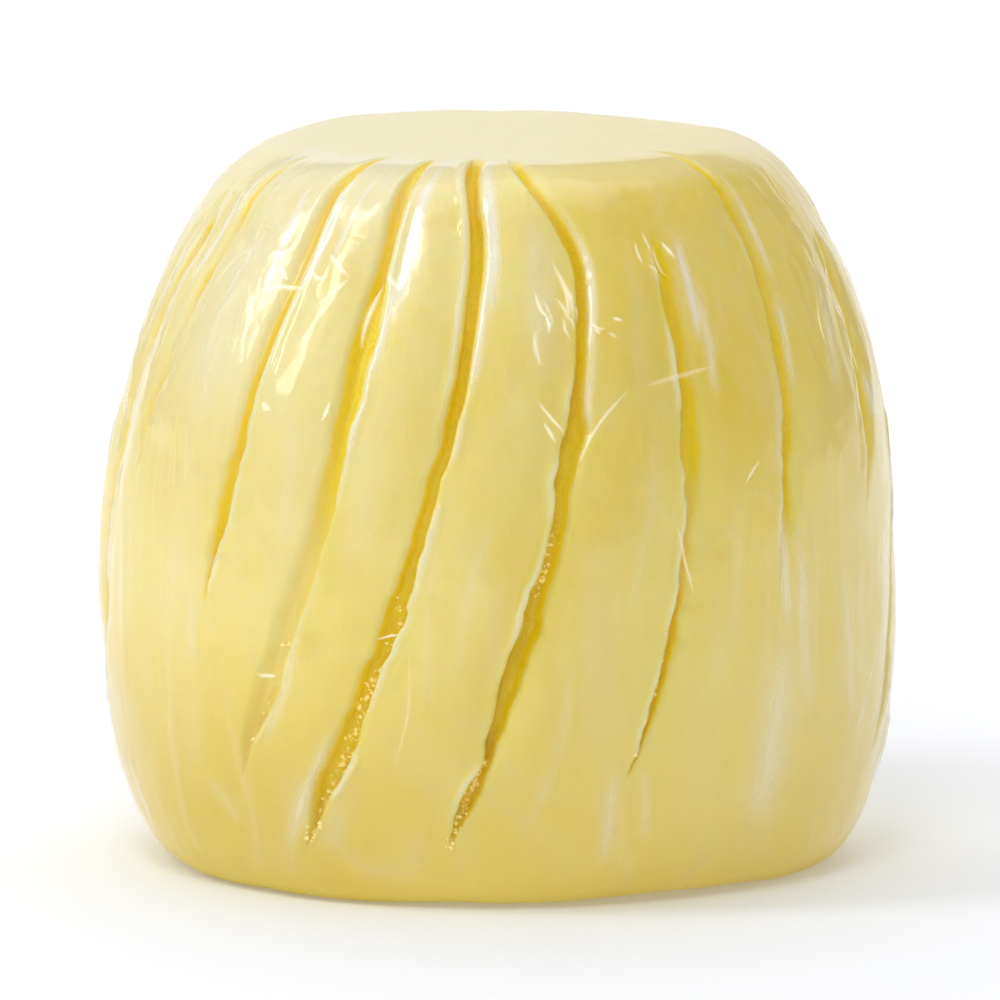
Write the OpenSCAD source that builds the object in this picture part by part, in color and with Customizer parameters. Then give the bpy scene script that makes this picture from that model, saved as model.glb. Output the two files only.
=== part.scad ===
// A large hand-shaped block of butter, sealed tight in clear film.
// The block is a barrel with a flat top and a flat foot. Its side is made of
// long laps of butter that run from the rim towards the foot, each one folded
// over the next, with a narrow groove between each two.
// +Z is up, -Y is the front, and the origin is the middle of the foot.
// Azimuths are in degrees from the front, positive towards +X.

/* [Block] */
// Width of the whole block at the belly, side to side
block_w = 210; // [160:1:260]
// Depth of the whole block at the belly, front to back
block_d = 204; // [160:1:260]
// Height from the table to the flat top
block_h = 190; // [150:1:230]
// Height of the belly, as a share of the block's height
belly_share = 0.36; // [0.25:0.01:0.45]
// Width of the flat top before its rim is rounded, as a share of the block's width
top_share = 0.64; // [0.5:0.01:0.75]
// Width of the flat foot, as a share of the block's width
foot_share = 0.80; // [0.6:0.01:0.9]
// How late the side turns in towards the top: a higher power keeps it upright for longer
shoulder_power = 2.7; // [2:0.1:4]
// Height of the rounded rim between the shoulder and the flat top
rim_h = 11; // [4:1:16]
// How far the rounded rim runs in over the top
rim_in = 14; // [5:1:20]
// How far the flat top stands to the right of the foot
top_shift = 2.5; // [-6:0.5:6]

/* [Laps] */
// Depth of a full groove between two laps
groove_depth = 5; // [2:0.5:8]
// How far the edge of a lap stands proud of its middle
lip_h = 0.9; // [0:0.1:2]
// Length over which a groove opens and closes at its ends, as a share of the height
groove_fade = 0.08; // [0.05:0.01:0.2]

/* [Mesh] */
// Rings of facets between the foot and the rim
side_rings = 33; // [20:1:36]
// Rings of facets in the rounded rim
rim_rings = 4; // [2:1:5]

/* [Hidden] */
// Each groove of the front half: its azimuth at the rim, how far it swings to the right
// on its way down, how far it leans to the left by the foot, how far it hooks to the left
// just under the rim, where it starts and ends as shares of the way down, and its depth as
// a share of a full groove.
front_grooves = [
    [-61,   0, 34,  0.0,  0.00, 0.45, 0.7],
    [-39,   0, 21,  0.0, -0.02, 0.60, 0.9],
    [-23,  10, 38,  0.0, -0.02, 0.84, 0.9],
    [ -5,   1, 31,  4.8, -0.04, 0.93, 1.1],
    [ 13,   1, 26, 11.8, -0.03, 0.92, 1.1],
    [ 26,  22, 37,  0.0,  0.08, 0.83, 0.8],
    [ 50,  -3, 13,  3.2, -0.02, 0.58, 0.6],
    [ 76, -16,  6,  0.0,  0.10, 0.50, 0.8],
    [ 92,   4, 30,  0.0,  0.04, 0.85, 1.0],
    [106,   2, 28,  0.0,  0.02, 0.90, 0.9]
];
// Length of a hook under the rim, as a share of the way down
hook_length = 0.14;
// How much later a groove starts at the back, as a share of the way down
back_start = 0.06;
half_count = len(front_grooves);
lap_count = 2 * half_count;

// The back half repeats the front's laps half a turn on, leaning a little less.
half_turn = 180;
back_lean = 0.9;

// The grid's columns across one lap: how far across, and how deep, as shares of the lap's
// width and of the groove's depth. The first stands in the groove on the left, and the
// second is the lip that folds over it.
lap_columns = [
    [0.00, 1.00],
    [0.07, 0.10],
    [0.17, 0.00],
    [0.48, 0.00],
    [0.74, 0.06],
    [0.91, 0.42]
];
lip_column = 2;
column_count = len(lap_columns);
points_per_ring = lap_count * column_count;

belly_z = belly_share * block_h;
shoulder_z = block_h - rim_h;
half_w = block_w / 2;
depth_share = block_d / block_w;

function smooth(x) = let (c = min(1, max(0, x))) c * c * (3 - 2 * c);

// The half width of the side at height z: a quarter ellipse from the foot up to the
// belly, and then a power curve that turns in towards the top.
function side_r(z) =
    z < belly_z
        ? half_w * (foot_share + (1 - foot_share) * sqrt(1 - pow(1 - z / belly_z, 2)))
        : half_w * (1 - (1 - top_share) * pow((z - belly_z) / (block_h - belly_z), shoulder_power));

// The rim rounds off the corner between the shoulder and the flat top, as a parabola over
// the share from 0 at the shoulder to 1 at the top.
rim_corner = [top_share * half_w, block_h];
rim_start = [side_r(shoulder_z), shoulder_z];
rim_end = rim_corner - [rim_in, 0];
function rim_point(share) =
    pow(1 - share, 2) * rim_start + 2 * share * (1 - share) * rim_corner + share * share * rim_end;

// The profile's rings as [half width, height]. They crowd together near the foot, where
// the quarter ellipse bends fastest.
function ring_z(j) = shoulder_z * pow(j / side_rings, 1.25);
rings = [
    for (j = [0 : side_rings]) [side_r(ring_z(j)), ring_z(j)],
    for (j = [1 : rim_rings]) rim_point(j / rim_rings)
];

// Groove i, counted round from the left of the front, with the back half worked out from
// the front one, and any whole turns kept so that the azimuths always grow.
function turns_of(i) = floor(i / lap_count);
function row_of(i) = front_grooves[(i - turns_of(i) * lap_count) % half_count];
function is_back(i) = (i - turns_of(i) * lap_count) >= half_count;
function groove_azimuth(i, t) =
    let (row = row_of(i), lean = is_back(i) ? back_lean * row[2] : row[2])
    row[0] + row[1] * t - lean * t * t - row[3] * pow(max(0, 1 - t / hook_length), 2)
        + (is_back(i) ? half_turn : 0) + 2 * half_turn * turns_of(i);

// Depth of groove i at the share t of the way down: it opens after its start and closes
// before its end.
function groove_at(i, t) =
    let (row = row_of(i), start = row[4] + (is_back(i) ? back_start : 0))
    groove_depth * row[6]
        * smooth((t - start) / groove_fade) * smooth((row[5] - t) / groove_fade);

// One point of the side, on column k of lap i at a ring.
function side_point(i, k, ring) =
    let (
        t = 1 - ring[1] / block_h,
        share = lap_columns[k][0],
        left = groove_azimuth(i, t),
        right = groove_azimuth(i + 1, t),
        azimuth = left + share * (right - left),
        nearest = share < 0.5 ? groove_at(i, t) : groove_at(i + 1, t),
        lip = k == lip_column ? lip_h * nearest / groove_depth : 0,
        r = ring[0] - nearest * lap_columns[k][1] + lip,
        shift = top_shift * pow(ring[1] / block_h, 3)
    )
    [r * sin(azimuth) + shift, -r * depth_share * cos(azimuth), ring[1]];

// The table that the block stands on.
module table() translate([-block_w, -block_w, -block_h]) cube([2 * block_w, 2 * block_w, block_h]);

// The block is one closed skin: the rings of the side, with a fan of facets over the
// flat foot and another over the flat top. The table trims the foot to one flat face.
module wrapped_butter() {
    last = len(rings) - 1;
    side = [
        for (ring = rings)
            for (i = [0 : lap_count - 1])
                for (k = [0 : column_count - 1]) side_point(i, k, ring)
    ];
    foot_centre = len(side);
    top_centre = foot_centre + 1;
    n = points_per_ring;
    faces = [
        for (j = [0 : last - 1])
            for (c = [0 : n - 1])
                let (a = j * n + c, b = j * n + (c + 1) % n)
                each [[a, b + n, b], [a, a + n, b + n]],
        for (c = [0 : n - 1]) [foot_centre, c, (c + 1) % n],
        for (c = [0 : n - 1]) [top_centre, last * n + (c + 1) % n, last * n + c]
    ];
    color("khaki") difference() {
        polyhedron(concat(side, [[0, 0, 0], [top_shift, 0, block_h]]), faces);
        table();
    }
}

wrapped_butter();
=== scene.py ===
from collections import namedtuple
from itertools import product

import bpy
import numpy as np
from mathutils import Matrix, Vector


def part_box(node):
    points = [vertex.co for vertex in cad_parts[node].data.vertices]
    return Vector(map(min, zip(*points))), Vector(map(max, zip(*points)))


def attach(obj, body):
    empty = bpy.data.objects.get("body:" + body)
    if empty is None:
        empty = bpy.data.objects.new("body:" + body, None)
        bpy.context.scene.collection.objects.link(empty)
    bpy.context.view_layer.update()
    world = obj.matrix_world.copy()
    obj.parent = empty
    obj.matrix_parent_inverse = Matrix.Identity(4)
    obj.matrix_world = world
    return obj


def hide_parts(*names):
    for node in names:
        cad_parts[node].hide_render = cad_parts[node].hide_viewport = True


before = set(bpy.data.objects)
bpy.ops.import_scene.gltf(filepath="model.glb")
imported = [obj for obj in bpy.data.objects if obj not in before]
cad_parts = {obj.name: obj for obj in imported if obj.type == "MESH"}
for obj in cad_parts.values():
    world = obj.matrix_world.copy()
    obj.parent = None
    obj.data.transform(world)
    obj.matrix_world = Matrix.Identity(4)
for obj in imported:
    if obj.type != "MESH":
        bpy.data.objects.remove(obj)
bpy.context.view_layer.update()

# A large hand-shaped block of butter with a flat top and foot. Its side is made of long laps
# of butter that lean to the left on their way down, with grooves between them whose saturated
# yellow is a painted glow, for the light scattered and bounced inside them.
# Clear film is pulled tight over it and gathered flat under the foot.
# +Z is up, -Y is the front, and azimuths are in degrees from the front, positive towards +X.

MM = 0.001

# ---------------------------------------------------------------- the block's driving sizes

block_low, block_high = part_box("wrapped_butter")
BLOCK_H = block_high.z - block_low.z
HALF_W = (block_high.x - block_low.x) / 2 - 1.0 * MM
DEPTH_SHARE = (block_high.y - block_low.y) / (block_high.x - block_low.x)
BELLY_SHARE = 0.36       # height of the belly, as a share of the block's height
TOP_SHARE = 0.64         # width of the top before its rim is rounded, as a share
FOOT_SHARE = 0.80        # width of the flat foot, as a share of the block's width
SHOULDER_POWER = 2.7     # how late the side turns in towards the top
RIM_H = 11 * MM          # height of the rounded rim
RIM_IN = 14 * MM         # how far the rim runs in over the top
FLAT_R = TOP_SHARE * HALF_W - RIM_IN    # radius of the flat part of the top
TOP_SHIFT = 2.5 * MM     # how far the flat top stands to the right of the foot
FOOT_GAP = 0.6 * MM      # butter stands this far off the table, on the folds of the film
FOOT_FADE = 30 * MM      # the unevenness of the flat top and foot fades within this radius
BUTTER_ROWS = {"foot": 4, "side": 178, "rim": 8, "top": 9}     # rings of points on each part
FILM_ROWS = {"foot": 10, "side": 172, "rim": 7, "top": 10}
FILM_COLUMNS = 480

GROOVE_DEPTH = 3.6 * MM  # depth of a full groove
GROOVE_OPENS = 0.06      # length over which a groove opens, as a share of the height
GROOVE_CLOSES = 0.07     # length over which it closes
CRISP_W = 0.9 * MM       # width of the crisp flank of a groove
LIP_H = 0.9 * MM         # how far the crisp edge of a lap stands proud
CROWN_H = 1.4 * MM       # how much the middle of a lap swells
CROWN_W = 13 * MM        # how far from a groove the swelling is full
OVERHANG = 0.8 * MM      # how far a crisp edge leans over its groove
TORN = 0.4 * MM          # how far the edges of a groove are torn to and fro
FILM_GAP = 0.25 * MM     # the film lies this far off the butter
HALF_TURN = 180.0
BACK_LEAN = 0.9          # the back's laps lean a little less than the front's
BACK_START = 0.06        # how much later its grooves start, as a share of the way down
HOOK_LENGTH = 0.14       # length of a groove's hook under the rim, as a share of the way down

# A groove: its azimuth at the rim, how far it swings to the right on its way down, how far it
# leans to the left by the foot, how far it hooks to the left just under the rim, where it
# starts and ends as shares of the way down, its depth as a share, the share of the way down at
# which its crisp edge passes from the left side to the right, and the widths of its floor and
# of its soft flank at the rim and at the foot, in millimetres.
Groove = namedtuple("Groove", "azimuth swing lean hook start end depth turn "
                              "floor_rim floor_foot soft_rim soft_foot")
FRONT_GROOVES = [
    Groove(-61, 0, 34, 0.0, 0.00, 0.45, 0.7, 0.0, 1.5, 0.5, 3.0, 4.0),
    Groove(-39, 0, 21, 0.0, -0.02, 0.60, 0.9, 0.0, 1.8, 1.6, 3.5, 4.0),
    Groove(-23, 10, 38, 0.0, -0.02, 0.84, 0.9, 0.0, 2.0, 5.0, 2.5, 5.0),
    Groove(-5, 1, 31, 4.8, -0.04, 0.93, 1.1, 0.3, 1.6, 3.4, 3.0, 1.6),
    Groove(13, 1, 26, 11.8, -0.03, 0.92, 1.1, 2.0, 1.4, 2.6, 4.0, 1.6),
    Groove(26, 22, 37, 0.0, 0.08, 0.83, 0.8, 2.0, 1.6, 0.8, 4.0, 1.2),
    Groove(50, -3, 13, 3.2, -0.02, 0.58, 0.6, 2.0, 1.0, 2.0, 2.0, 3.0),
    Groove(76, -16, 6, 0.0, 0.10, 0.50, 0.8, 2.0, 2.0, 1.0, 3.5, 5.0),
    Groove(92, 4, 30, 0.0, 0.04, 0.85, 1.0, 0.3, 1.5, 2.0, 4.0, 4.0),
    Groove(106, 2, 28, 0.0, 0.02, 0.90, 0.9, 0.2, 1.5, 1.5, 4.0, 4.0),
]
# Where a groove gapes or pinches: its number from 0 at the left, the share of the way down, half
# the length as a share, and by how many millimetres its floor is wider there.
GAPES = [
    (1, 0.42, 0.08, 1.0), (2, 0.25, 0.07, 2.0), (3, 0.60, 0.05, 2.0), (3, 0.80, 0.07, 2.6),
    (4, 0.27, 0.05, -0.8), (4, 0.36, 0.06, 2.0), (4, 0.63, 0.07, 2.0), (4, 0.78, 0.04, -1.6),
    (4, 0.86, 0.04, 2.2), (5, 0.36, 0.06, 2.5), (6, 0.24, 0.03, 1.5), (6, 0.36, 0.03, 1.8),
    (6, 0.47, 0.03, 1.5), (8, 0.50, 0.08, 2.0), (9, 0.30, 0.08, 1.5),
]
# Stretches where a groove is shallow and its painted yellow glow is veiled: the groove, the middle
# and half length of the stretch as shares of the way down, and how much is veiled.
VEILS = [(0, 0.27, 0.06, 0.7), (0, 0.12, 0.04, 0.6), (1, 0.13, 0.05, 0.5), (2, 0.75, 0.36, 0.85),
         (5, 0.48, 0.11, 0.65), (6, 0.14, 0.09, 0.5), (6, 0.52, 0.05, 0.7), (4, 0.02, 0.05, 0.4)]
HALF_COUNT = len(FRONT_GROOVES)
LAP_COUNT = 2 * HALF_COUNT

# ---------------------------------------------------------------- smooth steps and noise


def smooth(x):
    """0 below 0, 1 above 1, and three x squared less two x cubed between."""
    x = np.clip(x, 0, 1)
    return x * x * (3 - 2 * x)


def hashed(cells, seed):
    """A fixed share from 0 to 1 for each whole-number cell: its numbers are mixed bit by bit."""
    x, y, z = (cells[..., i].astype(np.int64).astype(np.uint32) for i in range(3))
    mixed = x * np.uint32(73856093) ^ y * np.uint32(19349663) ^ z * np.uint32(83492791)
    mixed ^= np.uint32(seed * 40503 + 7)
    for shift, factor in ((15, 0x2C1B3C6D), (12, 0x297A2D39)):
        mixed = (mixed ^ (mixed >> np.uint32(shift))) * np.uint32(factor)
    mixed ^= mixed >> np.uint32(15)
    return mixed.astype(np.float64) / 2.0**32


def lumps(points, size, seed):
    """Smooth noise from -1 to 1: fixed values at the corners of cubes of that size, blended
    between the eight corners of a cube by the smooth step along each axis."""
    scaled = points / size
    cell = np.floor(scaled)
    share = smooth(scaled - cell)
    total = np.zeros(points.shape[:-1])
    for corner in product((0, 1), repeat=3):
        corner = np.array(corner)
        weight = np.prod(np.where(corner, share, 1 - share), axis=-1)
        total += weight * hashed(cell + corner, seed)
    return 2 * total - 1


def spread(*values):
    """Arrays of one shape, or that broadcast to one, joined as the axes of points."""
    return np.stack(np.broadcast_arrays(*values), axis=-1)


def turned_from(azimuth, line):
    """Degrees from the line round to the azimuth the short way, from -180 to 180."""
    return (azimuth - line + 3 * HALF_TURN) % (2 * HALF_TURN) - HALF_TURN


# ---------------------------------------------------------------- the block's outline


def side_half_width(z):
    """Half the width at height z: a quarter ellipse from the foot up to the belly, and then a
    power curve that turns in towards the top."""
    belly = BELLY_SHARE * BLOCK_H
    below = FOOT_SHARE + (1 - FOOT_SHARE) * np.sqrt(np.clip(1 - (1 - z / belly) ** 2, 0, 1))
    rise = np.clip((z - belly) / (BLOCK_H - belly), 0, 1)
    return HALF_W * np.where(z < belly, below, 1 - (1 - TOP_SHARE) * rise**SHOULDER_POWER)


def outline(rows):
    """The block's outline as rings of (half width, height), and the outward direction at each:
    from the middle of the foot, out to its edge, up the side with equal steps along the
    curve, round the rim as a parabola whose corner is the sharp edge of the top, and in to
    the middle of the top."""
    z = (BLOCK_H - RIM_H) * (1 - np.cos(np.linspace(0, np.pi / 2, 2000)))
    dense = np.stack([side_half_width(z), z], axis=1)
    steps = np.hypot(*np.diff(dense, axis=0).T)
    length = np.concatenate([[0], np.cumsum(steps)])
    even = np.linspace(0, length[-1], rows["side"])
    side = np.stack([np.interp(even, length, dense[:, i]) for i in range(2)], axis=1)
    foot_r = np.linspace(0, side[0, 0], rows["foot"] + 1)[:-1]
    foot = np.stack([foot_r, np.zeros(rows["foot"])], axis=1)
    corner = np.array([TOP_SHARE * HALF_W, BLOCK_H])
    share = np.linspace(0, 1, rows["rim"] + 1)[1:, None]
    rim = ((1 - share) ** 2 * side[-1] + 2 * share * (1 - share) * corner
           + share**2 * (corner - (RIM_IN, 0)))
    top_r = rim[-1, 0] * np.linspace(1, 0, rows["top"] + 1)[1:] ** 0.8
    top = np.stack([top_r, np.full(rows["top"], BLOCK_H)], axis=1)
    path = np.concatenate([foot, side, rim, top])
    along = np.gradient(path, axis=0)
    outward = np.stack([along[:, 1], -along[:, 0]], axis=1)
    outward /= np.linalg.norm(outward, axis=1, keepdims=True)
    return path, outward


def place(azimuth, path, outward, height, inner=0.0):
    """Points of the skin: each ring of the outline is turned to the azimuths, squeezed front to
    back into an ellipse, and moved out along the outline's normal by the height. The rings
    slide to the right towards the top. inner lifts the skin off the table."""
    r = path[:, 0, None] + outward[:, 0, None] * height
    z = path[:, 1, None] + outward[:, 1, None] * height
    z = inner + z * (BLOCK_H - inner) / BLOCK_H
    turn = np.radians(azimuth)
    shift = TOP_SHIFT * (path[:, 1, None] / BLOCK_H) ** 3
    return spread(r * np.sin(turn) + shift, -r * DEPTH_SHARE * np.cos(turn), z)


# ---------------------------------------------------------------- the laps and grooves


def groove_row(i):
    """The groove's row, its turns round the block in degrees, and whether it is at the back."""
    turns, place_in_turn = divmod(i, LAP_COUNT)
    back = place_in_turn >= HALF_COUNT
    return FRONT_GROOVES[place_in_turn % HALF_COUNT], 2 * HALF_TURN * turns + HALF_TURN * back, back


def along_groove(i, down, lane=0):
    """Where the noise of groove i is read: at its height, on a lane of the groove's own, so that
    no two grooves are alike."""
    return spread(down * BLOCK_H, 0 * down, 0 * down + (i % LAP_COUNT) * 10.0 + lane)


def groove_line(i, down):
    """Azimuth of groove i at the share down of the way down: a parabola that swings right and
    then leans left, less a hook under the rim, with a slow wander and a fine ragged one."""
    groove, turned, back = groove_row(i)
    line = groove.azimuth + groove.swing * down - (BACK_LEAN if back else 1) * groove.lean * down**2
    line = line + turned - groove.hook * np.clip(1 - down / HOOK_LENGTH, 0, 1) ** 2
    at = along_groove(i, down)
    slow = 0.6 * lumps(at, 30 * MM, 3)
    fine = 0.30 * lumps(at, 7 * MM, 4) + 0.16 * lumps(at, 2.9 * MM, 5)
    return line + slow + fine * smooth((down - 0.1) / 0.3)


def groove_opening(i, down):
    """Depth of groove i, as a share of a full one: it opens after its start and closes before
    its end, and is a little uneven in between."""
    groove, _, back = groove_row(i)
    uneven = 1 + 0.2 * lumps(along_groove(i, down, 5), 15 * MM, 6)
    start = groove.start + (BACK_START if back else 0)
    opens, closes = (down - start) / GROOVE_OPENS, (groove.end - down) / GROOVE_CLOSES
    return groove.depth * uneven * smooth(opens) * smooth(closes)


def groove_floor(i, down):
    """Width of the floor of groove i, which widens in bell curves where the laps gape."""
    groove, _, _ = groove_row(i)
    width = groove.floor_rim + (groove.floor_foot - groove.floor_rim) * down
    for number, middle, half_length, wider in GAPES:
        if number == i % HALF_COUNT:
            width = width + wider * np.exp(-((down - middle) / half_length) ** 2)
    return np.maximum(width + 0.5 * lumps(along_groove(i, down, 8), 8 * MM, 8), 0.4) * MM


def groove_veil(i, down):
    """How much groove i is veiled: the strongest of its flat-topped bell curves."""
    veil = 0 * down
    for number, middle, half_length, much in VEILS:
        if number == i % HALF_COUNT:
            veil = np.maximum(veil, much * np.exp(-((down - middle) / half_length) ** 4))
    return veil


def off_top(down, radius):
    """0 on the flat top and 1 everywhere else."""
    return np.where(down < 0.5, smooth((radius - FLAT_R + 6 * MM) / (6 * MM)), 1.0)


def laps(azimuth, down, radius):
    """The relief of the laps at azimuths and shares of the way down. Returns the height, the
    share of painted yellow glow in the grooves, which stands in for light scattered and bounced
    inside them, the share of lip, and how far each point leans over a groove.

    Across each groove the floor is flat, one flank is crisp and the other soft, and both follow
    the smooth step. Floor and flanks narrow towards the groove's end, and noise tears their
    edges. The crisp flank ends in a lip, a bell curve just beyond the wall. Depths combine by
    their largest, and lips add up. The painted glow grows with depth, less where the groove is
    veiled. Away from the grooves the lap swells by the smooth step of the distance."""
    depth = np.zeros(np.broadcast_shapes(azimuth.shape, down.shape))
    lip = np.zeros_like(depth)
    painted_gold = np.zeros_like(depth)
    over = np.zeros_like(depth)
    near = np.full_like(depth, 1.0)
    for i in range(LAP_COUNT):
        groove, _, _ = groove_row(i)
        veil = groove_veil(i, down)
        opening = groove_opening(i, down) * off_top(down, radius) * (1 - 0.4 * veil)
        full = np.minimum(opening, 1)
        soft_w = (groove.soft_rim + (groove.soft_foot - groove.soft_rim) * down) * MM
        side = np.radians(turned_from(azimuth, groove_line(i, down))) * radius
        crisp_right = smooth((down - groove.turn + 0.1) / 0.2)
        crisp = np.where(side > 0, crisp_right, 1 - crisp_right)
        pointed = 0.2 + 0.8 * smooth((groove.end - down) / 0.12)
        flank = (soft_w + (CRISP_W - soft_w) * crisp) * pointed
        along = along_groove(i, down, 3)
        torn = np.where(side > 0, lumps(along, 3.5 * MM, 9), lumps(along, 4.2 * MM, 10))
        away = np.abs(side) - 0.5 * groove_floor(i, down) * smooth(1.6 * opening) * pointed
        away = away + TORN * torn * smooth((down - 0.2) / 0.3)
        sunk = 1 - smooth(away / flank)
        depth = np.maximum(depth, GROOVE_DEPTH * opening * sunk)
        bell = full * crisp * np.exp(-((away - flank - 0.7 * MM) / (1.2 * MM)) ** 2)
        lip += bell * smooth(0.62 + 0.75 * lumps(along_groove(i, down, 2), 11 * MM, 7))
        # Painted glow: saturated yellow that stands in for light scattered and bounced far down in the
        # groove.
        painted_gold = np.maximum(painted_gold, (1 - veil) * smooth(3 * opening) * smooth((sunk - 0.2) / 0.5))
        lean = np.exp(-np.maximum(away - flank, 0) / (2.2 * MM)) * smooth(away / flank)
        over -= np.sign(side) * OVERHANG * full * crisp * lean
        dent = smooth((down - groove.start) / 0.12) * smooth((groove.end + 0.04 - down) / 0.3)
        near = np.minimum(near, np.abs(side) + CROWN_W * (1 - dent))
    crown = CROWN_H * (smooth(near / CROWN_W) - 1) * smooth((0.95 - down) / 0.2)
    return crown * smooth((down - 0.01) / 0.04) + LIP_H * lip - depth, painted_gold, lip, over


def kneading(points):
    """Slow unevenness of the butter that its maker's hands leave: two sizes of lumps."""
    return 1.3 * MM * lumps(points, 45 * MM, 11) + 0.45 * MM * lumps(points, 14 * MM, 12)


# ---------------------------------------------------------------- making meshes


def smooth_mesh(name, vertices, faces, attributes):
    """An object with a smooth mesh, and a number at each vertex for each attribute."""
    mesh = bpy.data.meshes.new(name)
    mesh.from_pydata(vertices, [], faces)
    mesh.polygons.foreach_set("use_smooth", np.ones(len(mesh.polygons), bool))
    for label, values in attributes.items():
        layer = mesh.attributes.new(label, "FLOAT", "POINT")
        layer.data.foreach_set("value", values.astype(np.float32))
    mesh.update()
    piece = bpy.data.objects.new(name, mesh)
    bpy.context.scene.collection.objects.link(piece)
    return piece


def skin(name, points, attributes):
    """A closed mesh from rings of points: quads between the rings, and a fan at each pole,
    which is the middle of the first and of the last ring."""
    rows, columns = points.shape[:2]
    inner = points[1:-1].reshape(-1, 3)
    poles = np.array([points[0].mean(axis=0), points[-1].mean(axis=0)])
    vertices = np.concatenate([inner, poles])
    count = rows - 2
    j, c = np.meshgrid(np.arange(count - 1), np.arange(columns), indexing="ij")
    a = j * columns + c
    b = j * columns + (c + 1) % columns
    quads = np.stack([a, b, b + columns, a + columns], axis=-1).reshape(-1, 4)
    first = np.arange(columns)
    following = (first + 1) % columns
    last_ring = (count - 1) * columns
    foot_pole, top_pole = len(inner), len(inner) + 1
    foot = np.stack([np.full(columns, foot_pole), following, first], axis=-1)
    top = np.stack([np.full(columns, top_pole), last_ring + first, last_ring + following], axis=-1)
    faces = [*quads.tolist(), *foot.tolist(), *top.tolist()]
    at_vertices = {
        label: np.concatenate([values[1:-1].ravel(), [values[0].mean(), values[-1].mean()]])
        for label, values in attributes.items()
    }
    return smooth_mesh(name, vertices, faces, at_vertices)


def finished(piece, material, slot):
    """Gives a piece its finish and its place in the frame."""
    piece.data.materials.append(material)
    piece.visible_shadow = piece.visible_diffuse = slot != "film"   # clear film casts no shade
    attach(piece, "root")
    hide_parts("wrapped_butter")


# ---------------------------------------------------------------- the butter


def butter_block(material):
    """The butter. Its columns follow the grooves: across each lap they crowd towards both
    edges, at a share x less a sine wave of x, so that the walls and lips come out crisp. The
    relief and the kneading move the outline out and in, and the foot stays flat."""
    path, outward = outline(BUTTER_ROWS)
    down = 1 - path[:, 1, None] / BLOCK_H
    across = []
    for i in range(LAP_COUNT):
        x = np.linspace(0, 1, 30 if i < HALF_COUNT else 18, endpoint=False)
        x = x - 0.62 * np.sin(2 * np.pi * x) / (2 * np.pi)
        left, right = groove_line(i, down), groove_line(i + 1, down)
        across.append(left + x * (right - left))
    azimuth = np.concatenate(across, axis=1)
    radius = path[:, 0, None]
    relief, painted_gold, lip, over = laps(azimuth, down, radius)
    plain = place(azimuth, path, outward, np.zeros_like(azimuth))
    height = relief + kneading(plain) * smooth(radius / FOOT_FADE) - FILM_GAP
    azimuth = azimuth + np.degrees(over / np.maximum(radius, 20 * MM))
    points = place(azimuth, path, outward, height, inner=FOOT_GAP)
    points[..., 2] = np.maximum(points[..., 2], FOOT_GAP)
    finished(skin("butter", points, {"painted_gold": painted_gold, "lip": lip}), material, "butter")


# Crumbs that lie in the grooves: the groove, from and to which share of the way down, how far
# they spread to each side in millimetres, and how many there are.
CRUMBS = [(3, 0.66, 0.91, 2.2, 150), (3, 0.55, 0.64, 2.0, 24), (4, 0.47, 0.58, 1.6, 40),
          (4, 0.79, 0.91, 1.4, 70), (5, 0.50, 0.80, 1.2, 60), (2, 0.60, 0.80, 2.4, 14)]


def butter_crumbs(material):
    """Fine crumbs of butter in the grooves. Each is an eight-sided bead, stretched by chance,
    half sunk in the butter under it. Most are small: their size grows with a share from 0 to 1
    raised to a power."""
    path, outward = outline(BUTTER_ROWS)
    side = slice(BUTTER_ROWS["foot"], BUTTER_ROWS["foot"] + BUTTER_ROWS["side"])
    rng = np.random.default_rng(60)
    corners = np.array([(1, 0, 0), (0, 1, 0), (-1, 0, 0), (0, -1, 0), (0, 0, 1), (0, 0, -1)])
    sides = np.array([(0, 1, 4), (1, 2, 4), (2, 3, 4), (3, 0, 4),
                      (1, 0, 5), (2, 1, 5), (3, 2, 5), (0, 3, 5)])
    vertices, faces = [], []
    for number, start, end, reach, count in CRUMBS:
        for half in (0, HALF_COUNT):
            down = rng.uniform(start, end, count)[:, None]
            z = (1 - down[:, 0]) * BLOCK_H
            rings, ways = ([np.interp(z, path[side, 1], values[side, i]) for i in range(2)]
                           for values in (path, outward))
            rings, ways = np.stack(rings, axis=1), np.stack(ways, axis=1)
            off = rng.normal(0, 0.5, count)[:, None] * reach * MM
            azimuth = groove_line(number + half, down) + np.degrees(off / rings[:, :1])
            relief, *_ = laps(azimuth, down, rings[:, :1])
            plain = place(azimuth, rings, ways, np.zeros_like(azimuth))
            height = relief + kneading(plain) - 0.5 * FILM_GAP
            middle = place(azimuth, rings, ways, height, inner=FOOT_GAP)
            size = 0.52 * rng.random((count, 1, 1)) ** 1.5 + 0.12
            size = size * rng.uniform(0.6, 1.6, (count, 1, 3)) * MM
            first = sum(len(part) for part in vertices)
            vertices.append((middle + corners * size).reshape(-1, 3))
            numbers = np.arange(count)[:, None, None] * len(corners) + sides + first
            faces.append(numbers.reshape(-1, 3))
    piece = smooth_mesh("butter_crumbs", np.concatenate(vertices), np.concatenate(faces).tolist(), {})
    finished(piece, material, "butter")


# ---------------------------------------------------------------- the film


def pull_tight(lowest, inward, rounds):
    """The film as a stretched skin over the butter: in each round every point moves to the mean
    of its four neighbours less a small pull inwards, but never below the butter."""
    film = lowest.copy()
    for _ in range(rounds):
        across = (np.roll(film, 1, axis=1) + np.roll(film, -1, axis=1)) / 2
        padded = np.concatenate([film[:1], film, film[-1:]])
        along = (padded[:-2] + padded[2:]) / 2
        film = np.maximum(lowest, (across + along) / 2 - inward)
    return film


def creases(points, size, seed, sharpness=3.0):
    """Fine sharp ridges from 0 to 1: one less the size of smooth noise, raised to a power, so
    that it peaks along the lines where the noise passes through zero."""
    return (1 - np.abs(lumps(points, size, seed))) ** sharpness


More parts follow.
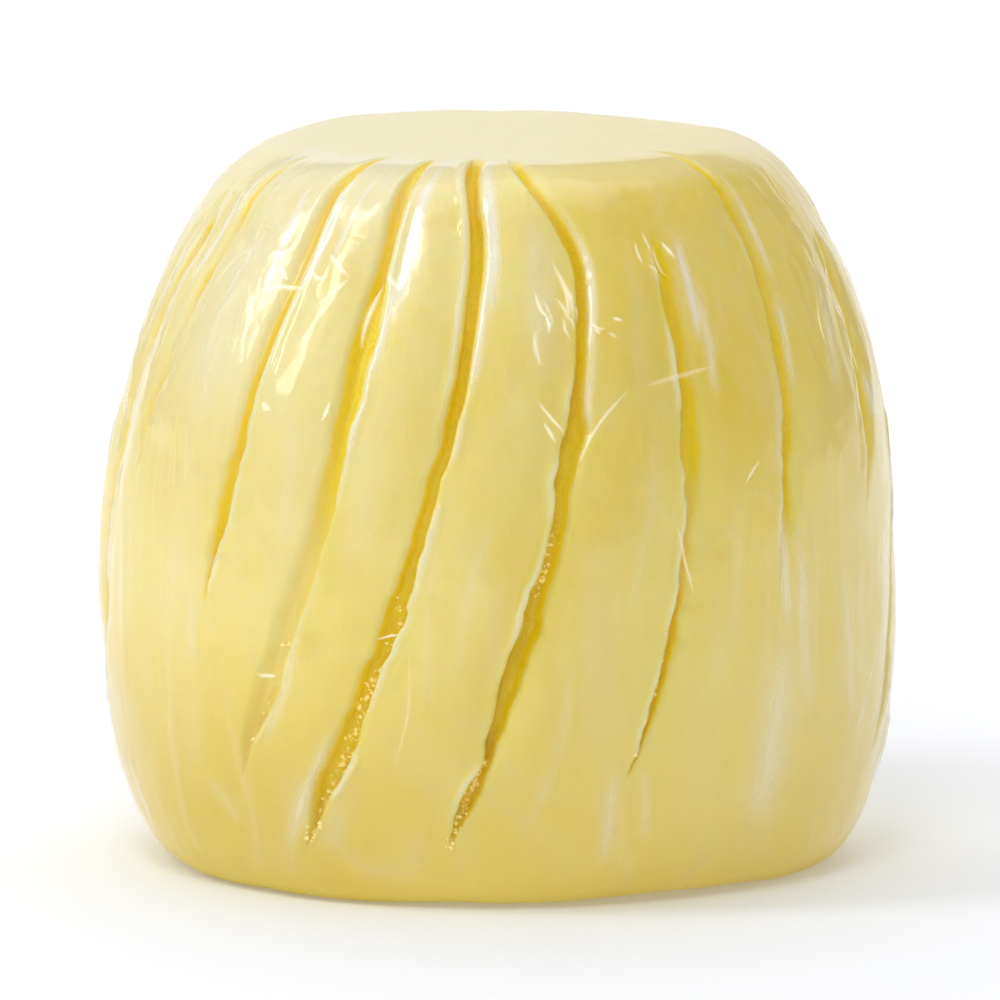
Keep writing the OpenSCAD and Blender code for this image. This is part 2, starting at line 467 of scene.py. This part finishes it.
def between_rings(grid, row, column):
    """Values of a grid of rings at places between its points: each is a mean of the four points
    round it, weighted by nearness. Columns go round and round."""
    r0 = np.clip(np.floor(row).astype(int), 0, len(grid) - 2)
    c0 = np.floor(column).astype(int)
    dr, dc = (row - r0)[..., None], (column - c0)[..., None]
    wide = grid.shape[1]
    low = grid[r0, c0 % wide] * (1 - dc) + grid[r0, (c0 + 1) % wide] * dc
    high = grid[r0 + 1, c0 % wide] * (1 - dc) + grid[r0 + 1, (c0 + 1) % wide] * dc
    return low * (1 - dr) + high * dr


class Surface:
    """The film's finished rings, for laying folds on it."""

    def __init__(self, points, azimuth, down):
        self.points, self.azimuth, self.down = points, azimuth, down
        up = np.gradient(points, axis=0)
        round_it = np.gradient(points, axis=1)
        out = np.cross(round_it, up)
        self.out = out / np.maximum(np.linalg.norm(out, axis=-1, keepdims=True), 1e-12)

    def at(self, azimuth, down):
        """Points and outward directions at azimuths and shares of the way down."""
        side = slice(FILM_ROWS["foot"] + 1, -FILM_ROWS["top"] - 1)
        row = np.interp(-down, -self.down[side], np.arange(len(self.down))[side])
        turned = (azimuth - self.azimuth[0]) % 360 + self.azimuth[0]
        ends = np.append(self.azimuth, self.azimuth[0] + 360)
        column = np.interp(turned, ends, np.arange(len(ends)))
        return between_rings(self.points, row, column), between_rings(self.out, row, column)


# A band of painted highlight, where the film stands off beside a groove and catches the light:
# the groove, how far to the right of it in millimetres, from and to which share of the way down,
# half the band's width in millimetres and its whiteness.
HIGHLIGHT_BANDS = [
    (0, -4, 0.00, 0.07, 1.0, 0.8), (0, -6, 0.06, 0.16, 1.1, 0.9), (0, 14, 0.10, 0.19, 1.0, 0.7),
    (1, 9, 0.01, 0.11, 1.2, 0.8), (1, 3.4, 0.02, 0.14, 1.3, 0.9), (1, -9, 0.03, 0.17, 2.0, 0.9),
    (2, 6, 0.00, 0.17, 2.4, 0.95), (2, 4.2, 0.14, 0.25, 1.2, 0.8), (2, 3, 0.24, 0.36, 1.0, 0.6),
    (3, 4.6, 0.00, 0.17, 1.9, 1.0), (3, 3.6, 0.15, 0.26, 1.2, 0.8), (3, -2.2, 0.10, 0.27, 1.0, 0.6),
    (4, 3.2, 0.07, 0.23, 1.1, 0.7), (4, 3.6, 0.25, 0.31, 1.1, 0.5), (5, 6.5, 0.12, 0.20, 1.3, 0.9),
    (5, 8.5, 0.17, 0.28, 1.4, 0.5), (6, 4.5, 0.05, 0.14, 1.0, 0.6), (6, 3.5, 0.20, 0.28, 1.1, 0.5),
    (3, -5.5, 0.76, 0.90, 2.4, 0.4), (6, -4, 0.30, 0.40, 1.6, 0.3),
]

# A crease of the film: where it starts (azimuth, share of the way down), where it ends, how far
# it bows to the right and half its width in millimetres, and its whiteness. Their white is partly
# the film's own milkiness where it creases and partly painted highlight: glints on the fine ones,
# and sheen on wide veils such as the one high on the left and the band along the rim.
CREASES = [
    (-46, 0.17, -36, 0.16, 1, 0.6, 1.0), (-44, 0.13, -41, 0.15, 0, 0.7, 1.0),
    (-37, 0.13, -32, 0.14, -2, 0.6, 1.0), (-34, 0.11, -28, 0.14, 0, 0.5, 1.0),
    (-28, 0.14, -33, 0.18, 0, 0.6, 0.9), (-22, 0.14, -24, 0.23, -1, 0.7, 1.0),
    (-22, 0.13, -19, 0.15, 0, 0.6, 1.0), (-39, 0.31, -37, 0.32, 0, 0.8, 1.0),
    (-27, 0.30, -28, 0.33, 0, 0.5, 0.9), (8, 0.11, 12, 0.21, 2, 0.7, 0.8),
    (5, 0.20, 6, 0.25, -1, 0.6, 0.7), (5, 0.29, 10, 0.34, 0, 0.4, 0.9),
    (6, 0.32, 8, 0.35, 0, 0.5, 0.9), (20, 0.28, 11, 0.39, -2, 0.4, 0.7),
    (22, 0.28, 35, 0.26, 0, 0.7, 0.4), (41, 0.39, 38, 0.42, 0, 0.4, 0.7),
    (44, 0.43, 46, 0.66, 0, 1.8, 0.6), (48, 0.46, 50, 0.78, 0, 2.6, 0.45),
    (46, 0.58, 41, 0.95, 0, 8, 0.40), (73, 0.30, 73, 0.38, 0, 2.0, 0.8),
    (26, 0.46, 29, 0.57, 0, 0.4, 0.6), (33, 0.47, 38, 0.51, 0, 2.2, 0.2),
    (-37, 0.68, -34, 0.68, 0, 0.5, 1.0), (-50, 0.54, -50, 0.70, 0, 2.6, 0.2),
    (-49, 0.83, -42, 0.90, 0, 3.2, 0.2), (-22, 0.77, -27, 0.93, 1, 4.0, 0.2),
    (-18, 0.62, -14, 0.61, 0, 0.3, 1.0), (-13, 0.62, -16, 0.81, 3, 0.4, 0.25),
    (17, 0.78, 16, 0.95, 0, 2.6, 0.3), (21, 0.78, 23, 0.92, 0, 1.8, 0.25),
    (-84, 0.32, -78, 0.39, 0, 1.5, 0.7), (58, 0.55, 63, 0.83, 1, 2.0, 0.3),
    (-30, 0.57, -37, 0.80, 3, 1.4, 0.35), (-50, -0.1, -52, 0.42, 0, 26, 0.34),
    (-46, 0.15, -54, 0.70, 0, 18, 0.10), (64, 0.20, 60, 0.85, 0, 15, 0.06),
    (-80, 0.03, 0, 0.03, 0, 14, 0.40), (5, 0.03, 6, 0.28, 0, 6, 0.30),
    (-16, 0.22, -22, 0.58, 0, 9, 0.14), (-28, 0.15, -34, 0.65, 0, 9, 0.12),
    (-15, 0.02, -16, 0.20, 0, 6, 0.14), (23, 0.30, 17, 0.62, 3, 1.6, 0.16),
    (0, 0.42, -6, 0.72, -3, 1.5, 0.14), (36, 0.42, 33, 0.70, 2, 2.5, 0.16),
    (10, 0.62, 2, 0.92, 4, 1.6, 0.16),
]
FINE_W = 1.0          # creases of less than this half width, in millimetres, stand up as folds
DEGREE_MM = 1.75      # millimetres to a degree of azimuth, over the side laid out flat
SIDE_MM = BLOCK_H / MM


def sheaf(azimuth, down, reach, count, lean, seed):
    """Short creases side by side, like a pinch of film that was let go. The reach is in
    millimetres, and the lean in degrees from straight down."""
    rng = np.random.default_rng(seed)
    creases_out = []
    for _ in range(count):
        a = azimuth + rng.uniform(-0.5, 0.5) * reach / DEGREE_MM
        d = down + rng.uniform(-0.35, 0.35) * reach / SIDE_MM
        far = reach * rng.uniform(0.3, 0.8)
        turn = np.radians(lean + rng.uniform(-22, 22))
        end = a + far * np.sin(turn) / DEGREE_MM, d + far * np.cos(turn) / SIDE_MM
        bow, half_width = far * rng.uniform(-0.2, 0.2), rng.uniform(0.3, 0.6)
        creases_out.append((a, d, *end, bow, half_width, rng.uniform(0.6, 1.0)))
    return creases_out


PUCKERS = [
    *sheaf(8, 0.17, 11, 9, 25, 5),
    *sheaf(16, 0.195, 7, 4, 55, 3),
    *sheaf(27, 0.10, 14, 5, 35, 8),
    *sheaf(66, 0.22, 16, 6, 10, 9),
]


def scattered_creases(count, seed):
    """Creases round the sides and back: most run up and down, three in ten are fine, and the
    others are wide and milky."""
    rng = np.random.default_rng(seed)
    creases_out = []
    for _ in range(count):
        azimuth, down = rng.uniform(62, 298), 0.05 + 0.85 * rng.random() ** 1.4
        far = rng.choice([6, 14, 40], p=[0.3, 0.4, 0.3]) * rng.uniform(0.6, 1.3)
        turn = np.radians(rng.normal(-8, 28))
        wide = rng.random() < 0.7
        end = azimuth + far * np.sin(turn) / DEGREE_MM, min(down + far * np.cos(turn) / SIDE_MM, 0.95)
        bow = far * rng.uniform(-0.1, 0.1)
        half_width = rng.uniform(1.1, 2.6) if wide else rng.uniform(0.4, 0.8)
        whiteness = rng.uniform(0.15, 0.4) if wide else rng.uniform(0.2, 0.5)
        creases_out.append((azimuth, down, *end, bow, half_width, whiteness))
    return creases_out


def highlight_and_milk(azimuth, down, plain, creases_on):
    """How white the film is from its bands of painted highlight and from its wide creases, whose
    white is partly milky film and partly painted sheen: each is a bell curve across and fades
    out towards its ends, and the strongest one counts. Distances are in millimetres over the
    side laid out flat."""
    radius = np.maximum(np.hypot(plain[..., 0], plain[..., 1]), 20 * MM)
    white = np.zeros_like(azimuth)

    def laid(off, share, length, half_width, whiteness):
        """One of them, from each point's distance off its line and share of the way along it."""
        soft = np.exp(-((off / half_width) ** 2))
        ends = smooth(share / 0.35) * smooth((1 - share) / 0.35)
        grain = lumps(spread(off / half_width, share * length / (12 * half_width), share * 0), 0.7, 31)
        return whiteness * soft * ends * np.clip(0.85 + 0.45 * grain, 0, 1.1)

    for number, right, start, end, half_width, whiteness in HIGHLIGHT_BANDS:
        for half in (0, HALF_COUNT):
            line = groove_line(number + half, down) + np.degrees(right * MM / radius)
            off = np.radians(turned_from(azimuth, line)) * radius / MM
            share = (down - start + 0.04) / (end - start + 0.08) + 0 * azimuth
            length = (end - start) * SIDE_MM
            fainter = whiteness * (0.7 if half else 1)
            white = np.maximum(white, laid(off, share, length, half_width, fainter))
    for a0, d0, a1, d1, bow, half_width, whiteness in creases_on:
        if half_width < FINE_W:
            continue
        x = turned_from(azimuth, a0) * DEGREE_MM
        y = (down - d0) * SIDE_MM
        along_x, along_y = (a1 - a0) * DEGREE_MM, (d1 - d0) * SIDE_MM
        length = np.hypot(along_x, along_y)
        share = (x * along_x + y * along_y) / length**2
        off = (x * along_y - y * along_x) / length - bow * np.sin(np.pi * np.clip(share, 0, 1))
        white = np.maximum(white, laid(off, share, length, half_width, whiteness))
    return np.clip(white, 0, 1) * off_top(down, radius)


def film_folds(material, surface, creases_on):
    """Narrow standing folds of the film. Each is a strip laid along a bowed line on the film:
    its section is a bell curve that leans to one side, and it tapers to nothing at both ends.
    Its edges lie just under the film."""
    steps, across = 22, np.linspace(-1, 1, 7)
    s = np.linspace(0, 1, steps)
    swell = np.sin(np.pi * s)
    taper = (swell**0.6)[:, None]
    crest_w, sunk = 0.45, 0.03
    vertices, faces, whites = [], [], []
    fine = [crease for crease in creases_on if crease[5] < FINE_W]
    for number, (a0, d0, a1, d1, bow, half_width, whiteness) in enumerate(fine):
        along_x, along_y = (a1 - a0) * DEGREE_MM, (d1 - d0) * SIDE_MM
        bowed = bow * swell / np.hypot(along_x, along_y)
        azimuth = a0 + (a1 - a0) * s + bowed * along_y / DEGREE_MM
        down = d0 + (d1 - d0) * s - bowed * along_x / SIDE_MM
        middle, out = surface.at(azimuth, np.clip(down, 0.01, 0.99))
        along = np.gradient(middle, axis=0)
        sideways = np.cross(along, out)
        sideways /= np.maximum(np.linalg.norm(sideways, axis=1, keepdims=True), 1e-12)
        lean = 0.25 * (1 if number % 2 else -1)
        crest = np.exp(-((across - lean) / crest_w) ** 2) - np.exp(-((1 - abs(lean)) / crest_w) ** 2)
        aside = across * 2.2 * half_width * MM * taper
        rise = (crest * half_width * 0.35 - sunk) * MM * taper
        strip = middle[:, None] + sideways[:, None] * aside[..., None] + out[:, None] * rise[..., None]
        strip[..., 2] = np.maximum(strip[..., 2], 0)
        first = number * steps * len(across)
        j, c = np.meshgrid(np.arange(steps - 1), np.arange(len(across) - 1), indexing="ij")
        a = first + j * len(across) + c
        faces.append(np.stack([a, a + 1, a + 1 + len(across), a + len(across)], axis=-1).reshape(-1, 4))
        vertices.append(strip.reshape(-1, 3))
        # The white of a fold's crest: partly doubled milky film, partly a painted glint.
        whites.append((np.clip(crest, 0, 1) * whiteness * taper).ravel())
    piece = smooth_mesh("film_folds", np.concatenate(vertices), np.concatenate(faces).tolist(),
                        {"white": np.concatenate(whites)})
    finished(piece, material, "film")


PLEAT_H = 0.20 * MM          # heights of the film's fine pleats, long pleats and crinkles
LONG_PLEAT_H = 0.40 * MM
CRINKLE_H = 0.15 * MM
GATHER_H = 0.5 * MM          # height of the gathers under the foot, and how many there are
GATHERS = 34


def film_skin(material, fold_material):
    """The film: pulled tight over the laps, then given its pleats and crinkles, which are sharp
    ridges of noise, long ones where the noise is stretched up and down. Under the foot its
    gathers are a wavering cosine wave of the azimuth. Its columns crowd towards the front by a
    sine wave."""
    path, outward = outline(FILM_ROWS)
    down = 1 - path[:, 1, None] / BLOCK_H
    radius = path[:, 0, None]
    u = 2 * np.pi * (np.arange(FILM_COLUMNS) / FILM_COLUMNS - 0.5)
    azimuth = np.degrees(u - 0.45 * np.sin(u))[None, :] + 0 * down
    relief, painted_gold, _, _ = laps(azimuth, down, radius)
    plain = place(azimuth, path, outward, np.zeros_like(azimuth))
    lowest = relief + kneading(plain) * smooth(radius / FOOT_FADE)
    tight = pull_tight(lowest, inward=0.055 * MM, rounds=40)
    side_only = smooth(down / 0.03) * smooth((1 - down) / 0.06)

    tall = plain * np.array([1, 1, 0.12])
    pleats = creases(tall, 5.5 * MM, 21) * smooth((0.55 - down) / 0.45) * side_only
    long_pleats = creases(tall + 0.4, 11 * MM, 22, 5.0) * side_only
    slanted = plain + plain[..., 2:3] * np.array([0.5, 0.1, -0.55])
    crinkles = creases(slanted, 9 * MM, 23, 5.0) * side_only
    patches = smooth(0.5 + 1.3 * lumps(plain, 38 * MM, 24))
    height = (tight + PLEAT_H * pleats + LONG_PLEAT_H * long_pleats * patches
              + CRINKLE_H * crinkles * (1 - patches))

    gathers = 0.5 + 0.5 * np.cos(np.radians(azimuth) * GATHERS + 3 * lumps(plain, 20 * MM, 25))
    foot = down > 0.999
    under = foot * smooth(radius / (8 * MM)) * smooth((FOOT_SHARE * HALF_W - radius) / (6 * MM))
    height = np.where(foot, -GATHER_H * under * gathers, height)

    creases_on = [*CREASES, *PUCKERS, *scattered_creases(130, 40)]
    white = highlight_and_milk(azimuth, down, plain, creases_on)
    # Faint white along the pleats and crinkles: partly milky film, partly a painted glint on their crests.
    faint = 0.10 * pleats + 0.14 * long_pleats * patches + 0.08 * crinkles * (1 - patches)
    white = np.clip(white + faint + 0.2 * under * gathers, 0, 1)
    points = place(azimuth, path, outward, height)
    points[..., 2] = np.maximum(points[..., 2], 0)
    finished(skin("film", points, {"white": white, "painted_gold": painted_gold}), material, "film")
    film_folds(fold_material, Surface(points, azimuth[0], down[:, 0]), creases_on)


# ---------------------------------------------------------------- finishes


class Value:
    """A number or colour that a shader works out. Arithmetic on it adds Math nodes."""

    def __init__(self, finish, socket):
        self.finish, self.socket = finish, socket

    def maths(self, operation, first, second):
        """The outcome of one Math node."""
        settings = {"operation": operation}
        return self.finish.node("ShaderNodeMath", settings, {0: first, 1: second})

    def __add__(self, other):
        return self.maths("ADD", self, other)

    def __sub__(self, other):
        return self.maths("SUBTRACT", self, other)

    def __rsub__(self, other):
        return self.maths("SUBTRACT", other, self)

    def __mul__(self, other):
        return self.maths("MULTIPLY", self, other)

    def __pow__(self, other):
        return self.maths("POWER", self, other)

    def __abs__(self):
        return self.maths("ABSOLUTE", self, 0)

    __radd__ = __add__
    __rmul__ = __mul__


class Finish:
    """A material under way, and the one method that adds a node to it."""

    def __init__(self, name):
        self.material = bpy.data.materials.new(name)
        self.material.use_nodes = True
        self.tree = self.material.node_tree
        self.tree.nodes.clear()

    def node(self, kind, settings, inputs, output=0):
        """One node: its settings are set first, then its sockets get values or links. Returns
        the output that is asked for."""
        made = self.tree.nodes.new(kind)
        for name, value in settings.items():
            setattr(made, name, value)
        for name, value in inputs.items():
            if isinstance(value, Value):
                self.tree.links.new(value.socket, made.inputs[name])
            else:
                made.inputs[name].default_value = value
        return Value(self, made.outputs[output])

    def attribute(self, name):
        """The number that the mesh carries under that name."""
        return self.node("ShaderNodeAttribute", {"attribute_name": name}, {}, "Fac")

    def part(self, vector, axis):
        """One of the three parts of a place or a direction: X, Y or Z."""
        return self.node("ShaderNodeSeparateXYZ", {}, {0: vector}, axis)

    def place(self, stretch=(1, 1, 1), turn=(0, 0, 0)):
        """The place on the object in metres, stretched and turned for a pattern."""
        here = self.node("ShaderNodeTexCoord", {}, {}, "Object")
        return self.node("ShaderNodeMapping", {}, {"Vector": here, "Scale": stretch, "Rotation": turn})

    def noise(self, place, scale, detail=2.0, roughness=0.5, warp=0.0):
        """Soft noise from 0 to 1, with as many lumps to the metre as the scale."""
        return self.node("ShaderNodeTexNoise", {}, {
            "Vector": place, "Scale": scale, "Detail": detail, "Roughness": roughness, "Distortion": warp})

    def ridges(self, place, scale, power, warp=0.0):
        """Sharp lines from 0 to 1 where soft noise passes through its middle."""
        noise = self.noise(place, scale, detail=1, warp=warp)
        return (1 - abs(noise * 2 - 1)) ** power

    def span(self, value, low, high):
        """How far the value has come from low to high, held between 0 and 1 and smoothed."""
        return self.node("ShaderNodeMapRange", {"interpolation_type": "SMOOTHSTEP"}, {
            "Value": value, "From Min": low, "From Max": high})

    def blend(self, share, first, second):
        """A colour that goes from the first to the second."""
        return self.node("ShaderNodeMix", {"data_type": "RGBA"}, {0: share, 6: first, 7: second}, 2)

    def bump(self, height, distance):
        """A normal that is tilted by a relief of that distance in metres."""
        return self.node("ShaderNodeBump", {}, {"Height": height, "Distance": distance, "Strength": 1.0})

    def seen_through(self, share, shader, most):
        """The shader shows by the share, up to the most, and the surface is clear otherwise."""
        clear = self.node("ShaderNodeBsdfTransparent", {}, {"Color": WHITE})
        held = self.node("ShaderNodeClamp", {}, {"Value": share, "Max": most})
        return self.node("ShaderNodeMixShader", {}, {0: held, 1: clear, 2: shader})

    def ends_in(self, shader):
        """The finished material, with that shader on its surface."""
        out = self.tree.nodes.new("ShaderNodeOutputMaterial")
        self.tree.links.new(shader.socket, out.inputs["Surface"])
        return self.material


WHITE = (1, 1, 1, 1)
BUTTER_PALE = (0.95, 0.785, 0.205, 1)
BUTTER_WARM = (0.92, 0.725, 0.125, 1)
# Painted light and shade among the butter's colours: the lips' paler edge, partly a painted highlight, the
# painted light on the top and upper left, the painted glow in the grooves, and the painted shade low down,
# on the upper right and on the lower left.
BUTTER_LIP_PALE_AND_LIT = (0.98, 0.87, 0.50, 1)
BUTTER_PAINTED_LIGHT = (0.97, 0.86, 0.46, 1)
GROOVE_GLOW_HIGH = (1.0, 0.735, 0.003, 1)
GROOVE_GLOW_LOW = (0.94, 0.69, 0.003, 1)
BUTTER_LOW_SHADE = (0.91, 0.70, 0.11, 1)
BUTTER_RIGHT_SHADE = (0.87, 0.665, 0.055, 1)
BUTTER_SHADED = (0.815, 0.62, 0.055, 1)
CRUMB_PALE = (1.0, 0.83, 0.32, 1)
CRUMB_GLOW = (1.0, 0.80, 0.24, 1)
FILM_GLOSS = (1, 0.99, 0.93, 1)
FOLD_MILK = (1, 0.96, 0.80, 1)
FOLD_PAINTED_GLOW = (1, 0.94, 0.70, 1)
FLOOR_COOL = (0.82, 0.85, 0.94, 1)
FLOOR_PALE = (0.90, 0.90, 0.92, 1)
FLOOR_DIM = (0.55, 0.55, 0.55, 1)


def butter_finish():
    """Soft waxy butter: pale on the laps with slow mottling and faint drag marks, and crumbly in
    the grooves, where painted saturated yellow stands in for the light scattered and bounced
    inside them, brighter high up and darker lower down. Painted light makes it paler on the top
    and towards the upper left, and painted shade makes it a darker yellow low down, on the lower
    left and on the upper right. The lips are paler, partly their own crumbly butter and partly a
    painted highlight where they catch the light. Light sinks a few millimetres in."""
    f = Finish("butter")
    here = f.place()
    drag = f.place(stretch=(1, 1, 0.07))
    painted_gold = f.attribute("painted_gold")
    mottling = f.noise(here, 32, detail=3)
    marks = f.noise(drag, 260, detail=3, roughness=0.6)
    crumbs = f.noise(here, 620, detail=3, roughness=0.65)
    pale = f.blend(f.span(mottling * 0.75 + marks * 0.25, 0.35, 0.68), BUTTER_PALE, BUTTER_WARM)
    # Painted glow: the share of saturated yellow in the grooves, for the light scattered and bounced
    # inside them, broken up by crumbly noise.
    painted_gold_share = f.span(painted_gold + (crumbs - 0.5) * 0.25, 0.0, 0.7)
    height, rightward = f.part(here, "Z"), f.part(here, "X")
    # Painted light: paler on the top, and towards the upper left where the light falls.
    painted_top_light = f.span(height, BLOCK_H - 8 * MM, BLOCK_H - 1 * MM) * 0.5
    sunlit = f.span(rightward, 35 * MM, -75 * MM) * f.span(height, 55 * MM, 165 * MM) * 0.5
    # Painted shade: a darker yellow low down, stronger towards the left.
    low = f.span(height, 85 * MM, 5 * MM) * (0.7 + 0.3 * f.span(rightward, -20 * MM, -80 * MM))
    # Painted shade on the upper right, away from the light.
    painted_right_shade = f.span(rightward, 8 * MM, 30 * MM) * f.span(height, 100 * MM, 145 * MM) * 0.75
    # Painted shade on the lower left.
    shaded = f.span(rightward, -5 * MM, -70 * MM) * f.span(height, 75 * MM, 20 * MM)
    plain = f.blend(painted_right_shade, f.blend(low, pale, BUTTER_LOW_SHADE), BUTTER_RIGHT_SHADE)
    plain = f.blend(shaded, plain, BUTTER_SHADED)
    plain = f.blend(painted_top_light + sunlit * (1 - painted_top_light), plain, BUTTER_PAINTED_LIGHT)
    # Painted glow in the grooves: a brighter lemon yellow high up, a darker amber lower down where less
    # light reaches.
    painted_groove_colour = f.blend(f.span(height, 150 * MM, 60 * MM), GROOVE_GLOW_HIGH, GROOVE_GLOW_LOW)
    # Paler lips: partly their own crumbly butter, partly a painted highlight where they catch the light.
    lip_pale_and_lit = f.blend(f.span(f.attribute("lip"), 0.2, 0.9) * 0.8, plain, BUTTER_LIP_PALE_AND_LIT)
    relief = marks * 0.3 + crumbs * (0.04 + painted_gold * 0.7) + f.noise(here, 140, detail=2) * 0.5
    shader = f.node("ShaderNodeBsdfPrincipled", {}, {
        "Base Color": f.blend(painted_gold_share, lip_pale_and_lit, painted_groove_colour),
        "Roughness": 0.40,
        "IOR": 1.46,
        "Subsurface Weight": 0.42,
        "Subsurface Radius": (1.0, 0.8, 0.25),
        "Subsurface Scale": 0.006,
        "Normal": f.bump(relief, 0.0008),
    })
    return f.ends_in(shader)


def crumb_finish():
    """Pale crumbs that the light comes through, which is given here as a faint glow."""
    f = Finish("butter crumbs")
    return f.ends_in(f.node("ShaderNodeBsdfPrincipled", {}, {
        "Base Color": CRUMB_PALE,
        "Roughness": 0.6,
        "Emission Color": CRUMB_GLOW,
        "Emission Strength": 0.22,
    }))


def fold_finish():
    """Milky white film, where it is doubled in a narrow fold: its white is partly the doubled film's
    own milkiness and partly a painted glint. Its faint glow is painted light, for the light that
    comes through it, and keeps the fold's shaded side from going grey."""
    f = Finish("film folds")
    milky = f.node("ShaderNodeBsdfPrincipled", {}, {
        "Base Color": FOLD_MILK,
        "Roughness": 0.25,
        "Emission Color": FOLD_PAINTED_GLOW,
        "Emission Strength": 0.3,
    })
    return f.ends_in(f.seen_through(f.attribute("white") * 0.85, milky, most=0.8))


def film_finish():
    """Clear film: glossy where it turns away, milky where it is creased, white with painted
    highlights and sheen in bands and veils, and clear between, and less of these over the painted
    glow of a groove. Sharp fine creases run mostly up and down, and leaning ones cross them in
    patches. The mirror's share of the surface is metal, and the share of milky film and painted
    highlight is white."""
    f = Finish("film")
    upright = f.ridges(f.place(stretch=(1, 1, 0.09)), 150, power=4, warp=0.4)
    leaning = f.ridges(f.place(stretch=(1, 1, 0.3), turn=(0.5, 0.6, 0)), 100, power=8, warp=0.4)
    slow = f.noise(f.place(), 22, detail=1)
    streaked = f.span(slow, 0.40, 0.62)
    pinched = f.span(slow, 0.58, 0.46)
    white, painted_gold = f.attribute("white"), f.attribute("painted_gold")
    level = f.part(f.node("ShaderNodeNewGeometry", {}, {}, "Normal"), "Z")
    height = f.part(f.place(), "Z")
    relief = ((upright * streaked * 0.20 + leaning * pinched * 0.12) * f.span(height, 30 * MM, 130 * MM)
              + f.noise(f.place(), 60, detail=1) * 0.30) * f.span(level, 0.95, 0.6)
    normal = f.bump(relief, 0.0009)
    sheen = f.node("ShaderNodeFresnel", {}, {"IOR": 1.5, "Normal": normal})
    mirror = f.node("ShaderNodeClamp", {}, {"Value": sheen * 1.2 - 0.008, "Max": 0.42})
    mirror = mirror * (1 - painted_gold * 0.8) * f.span(height, 0.0, 14 * MM)
    # White from the film's own milkiness and from its painted highlights and sheen.
    milk_and_highlight = white * 0.75 * (1 - painted_gold * 0.6)
    gloss = f.node("ShaderNodeBsdfPrincipled", {}, {
        "Base Color": FILM_GLOSS,
        "Metallic": mirror * (mirror + milk_and_highlight + 0.001) ** -1,
        "Roughness": 0.15,
        "Normal": normal,
    })
    return f.ends_in(f.seen_through(mirror + milk_and_highlight, gloss, most=0.9))


def floor_finish():
    """Plain pale floor that glows a little, so that it stays white away from the lights. Near
    the block it glows less, which paints a faint shade round it, and it is a shade cooler against
    the warm light off the butter."""
    f = Finish("floor")
    away = f.node("ShaderNodeVectorMath", {"operation": "LENGTH"}, {0: f.place()}, "Value")
    return f.ends_in(f.node("ShaderNodeBsdfPrincipled", {}, {
        "Base Color": f.blend(f.span(away, 0.1, 0.4), FLOOR_COOL, FLOOR_PALE),
        "Roughness": 0.8,
        "Emission Color": f.blend(f.span(away, 0.12, 0.9), FLOOR_DIM, WHITE),
        "Emission Strength": 0.35,
    }))


# ---------------------------------------------------------------- the studio


def floor_sheet(material, half=9.0):
    """A square floor at the height of the foot."""
    mesh = bpy.data.meshes.new("floor")
    corners = [(-half, -half, 0), (half, -half, 0), (half, half, 0), (-half, half, 0)]
    mesh.from_pydata(corners, [], [(0, 1, 2, 3)])
    mesh.materials.append(material)
    floor = bpy.data.objects.new("floor", mesh)
    bpy.context.scene.collection.objects.link(floor)


def soft_box(name, azimuth, elevation, distance, size, watts, mirrored=True):
    """A rectangular light that looks at the block from that azimuth and elevation, at that
    distance in metres. Shiny surfaces show it if it is mirrored."""
    light = bpy.data.lights.new(name, "AREA")
    light.shape = "RECTANGLE"
    light.size, light.size_y = size
    light.energy = watts
    lamp = bpy.data.objects.new(name, light)
    lamp.visible_glossy = mirrored
    turn, rise = np.radians(azimuth), np.radians(elevation)
    middle = Vector((0, 0, BLOCK_H / 2))
    away = Vector((np.sin(turn) * np.cos(rise), -np.cos(turn) * np.cos(rise), np.sin(rise)))
    lamp.location = middle + away * distance
    lamp.rotation_euler = away.to_track_quat("Z", "Y").to_euler()
    bpy.context.scene.collection.objects.link(lamp)


def studio():
    """Pale surroundings, a wide soft wall on the left and on the right, a narrow bright light
    high on the left, a softer one in front, one overhead, a wide one high behind, and a white
    screen behind. The ones that would show as plain patches on the film are not mirrored."""
    world = bpy.data.worlds.new("surroundings")
    bpy.context.scene.world = world
    world.use_nodes = True
    background = world.node_tree.nodes["Background"]
    background.inputs["Color"].default_value = WHITE
    background.inputs["Strength"].default_value = 0.26
    soft_box("left wall", -100, 55, 1.7, (2.0, 1.2), 0.8)
    soft_box("key light", -72, 40, 1.3, (0.32, 0.8), 4.8)
    soft_box("front light", -8, 48, 1.8, (0.5, 0.8), 6.2, mirrored=False)
    soft_box("right wall", 95, 30, 1.8, (1.6, 1.4), 2.3)
    soft_box("overhead", 0, 90, 2.2, (2.0, 2.0), 10)
    soft_box("back light", 180, 48, 2.6, (3.4, 2.0), 22, mirrored=False)
    soft_box("screen", 180, 12, 3.0, (5.0, 1.6), 15)
    bpy.context.scene.view_settings.view_transform = "Standard"


def camera():
    """A long lens a little above the block."""
    distance, rise = 4.0, 0.735
    frame_w = 0.2594            # how much the frame takes in across, at the block
    lens = bpy.data.cameras.new("camera")
    lens.sensor_width = 36
    lens.lens = lens.sensor_width * distance / frame_w
    lens.clip_end = 50
    view = bpy.data.objects.new("camera", lens)
    target = Vector((0.0003, 0, 0.0935))
    view.location = Vector((target.x, -distance, rise))
    view.rotation_euler = (view.location - target).to_track_quat("Z", "Y").to_euler()
    bpy.context.scene.collection.objects.link(view)
    bpy.context.scene.camera = view


camera()
studio()
floor_sheet(floor_finish())
butter_block(butter_finish())
butter_crumbs(crumb_finish())
film_skin(film_finish(), fold_finish())
